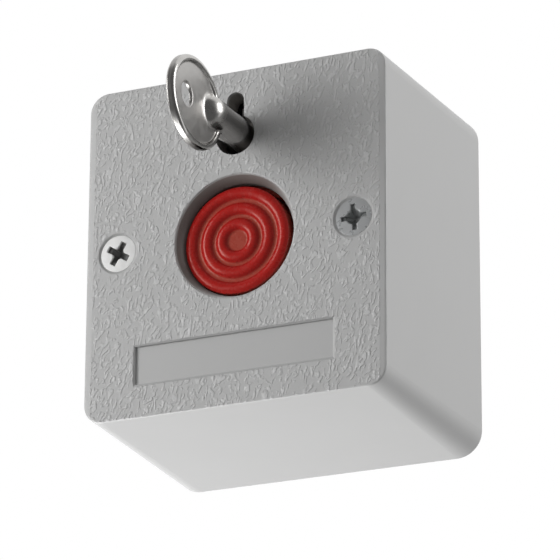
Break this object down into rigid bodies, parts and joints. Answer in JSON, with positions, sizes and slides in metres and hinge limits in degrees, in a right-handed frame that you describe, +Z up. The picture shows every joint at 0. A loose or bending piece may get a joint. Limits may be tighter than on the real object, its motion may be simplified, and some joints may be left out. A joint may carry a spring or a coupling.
{
  "type": "panic button",
  "caption": "Wall-mounted panic button in a drafted grey housing, with a recessed round push button that latches and a key that resets it.",
  "frame": {"origin": "centre of the flat back face, which lies on the wall; the button's axis passes through it", "axes": "+Z up as mounted, +X to the right seen from the front, +Y into the wall; the front looks along -Y"},
  "size_m": [0.0482, 0.0537, 0.0518],
  "materials": {
    "housing_grey": "leather-grained grey moulding, smoother on the sides",
    "base_plastic": "plain grey moulding",
    "bright_screw": "bright zinc plate",
    "dull_screw": "blue zinc plate, a little dull",
    "black_plastic": "black moulding",
    "small_screws": "zinc plate",
    "board": "green solder mask",
    "switch_plastic": "black moulding",
    "contact_metal": "tinned brass",
    "spring_steel": "spring steel",
    "nub_plastic": "red moulding",
    "terminal_plastic": "green moulding",
    "red_cap": "red moulding, satin",
    "stem_plastic": "white moulding",
    "latch_steel": "stamped steel",
    "rotor_metal": "die-cast zinc",
    "key_metal": "nickel plate"
  },
  "bodies": {
    "housing": {"cover": "housing_grey", "base_plate": "base_plastic", "cover_screw_left": "bright_screw", "cover_screw_right": "dull_screw", "mechanism_frame": "black_plastic", "frame_screws": "small_screws", "circuit_board": "board", "board_screws": "small_screws", "switch_body": "switch_plastic", "switch_terminals": "contact_metal", "terminal_block": "terminal_plastic", "terminal_clamps": "contact_metal", "terminal_screws": "small_screws", "return_spring": "spring_steel", "latch_spring": "spring_steel", "rotor_washer": "latch_steel"},
    "button": {"button_cap": "red_cap", "plunger_stem": "stem_plastic"},
    "lever": {"switch_lever": "spring_steel"},
    "switch_nub": {"switch_plunger": "nub_plastic"},
    "rotor": {"key_rotor": "rotor_metal", "release_cam": "latch_steel", "cam_screw": "small_screws"},
    "key": {"reset_key": "key_metal"},
    "latch": {"latch_plate": "latch_steel"}
  },
  "joints": [
    {"name": "button_press", "type": "slide", "parent": "housing", "child": "button", "axis": [0, 1, 0], "range_m": [0, 0.002], "stiffness_N_per_m": 1000, "deforming": ["return_spring"]},
    {"name": "lever_swing", "type": "hinge", "parent": "housing", "child": "lever", "pos_m": [-0.0076, -0.01605, 0], "axis": [0, 0, 1], "range_deg": [0, 14.4]},
    {"name": "switch_actuate", "type": "slide", "parent": "housing", "child": "switch_nub", "axis": [0, 1, 0], "range_m": [0, 0.00055]},
    {"name": "key_turn", "type": "hinge", "parent": "housing", "child": "rotor", "pos_m": [0, -0.0243, 0.0152], "axis": [0, 1, 0], "range_deg": [0, 90]},
    {"name": "latch_release", "type": "slide", "parent": "housing", "child": "latch", "axis": [0, 0, -1], "range_m": [0, 0.0013], "stiffness_N_per_m": 300, "springref_m": -0.001, "deforming": ["latch_spring"]},
    {"name": "key_withdraw", "type": "slide", "parent": "rotor", "child": "key", "axis": [0, -1, 0], "range_m": [0, 0.008]}
  ],
  "couplings": [
    {"joint": "lever_swing", "follows": "button_press", "rad_per_m": 124.79},
    {"joint": "switch_actuate", "follows": "button_press", "ratio": 0.275},
    {"joint": "key_turn", "follows": "latch_release", "rad_per_m": 1208.3}
  ]
}
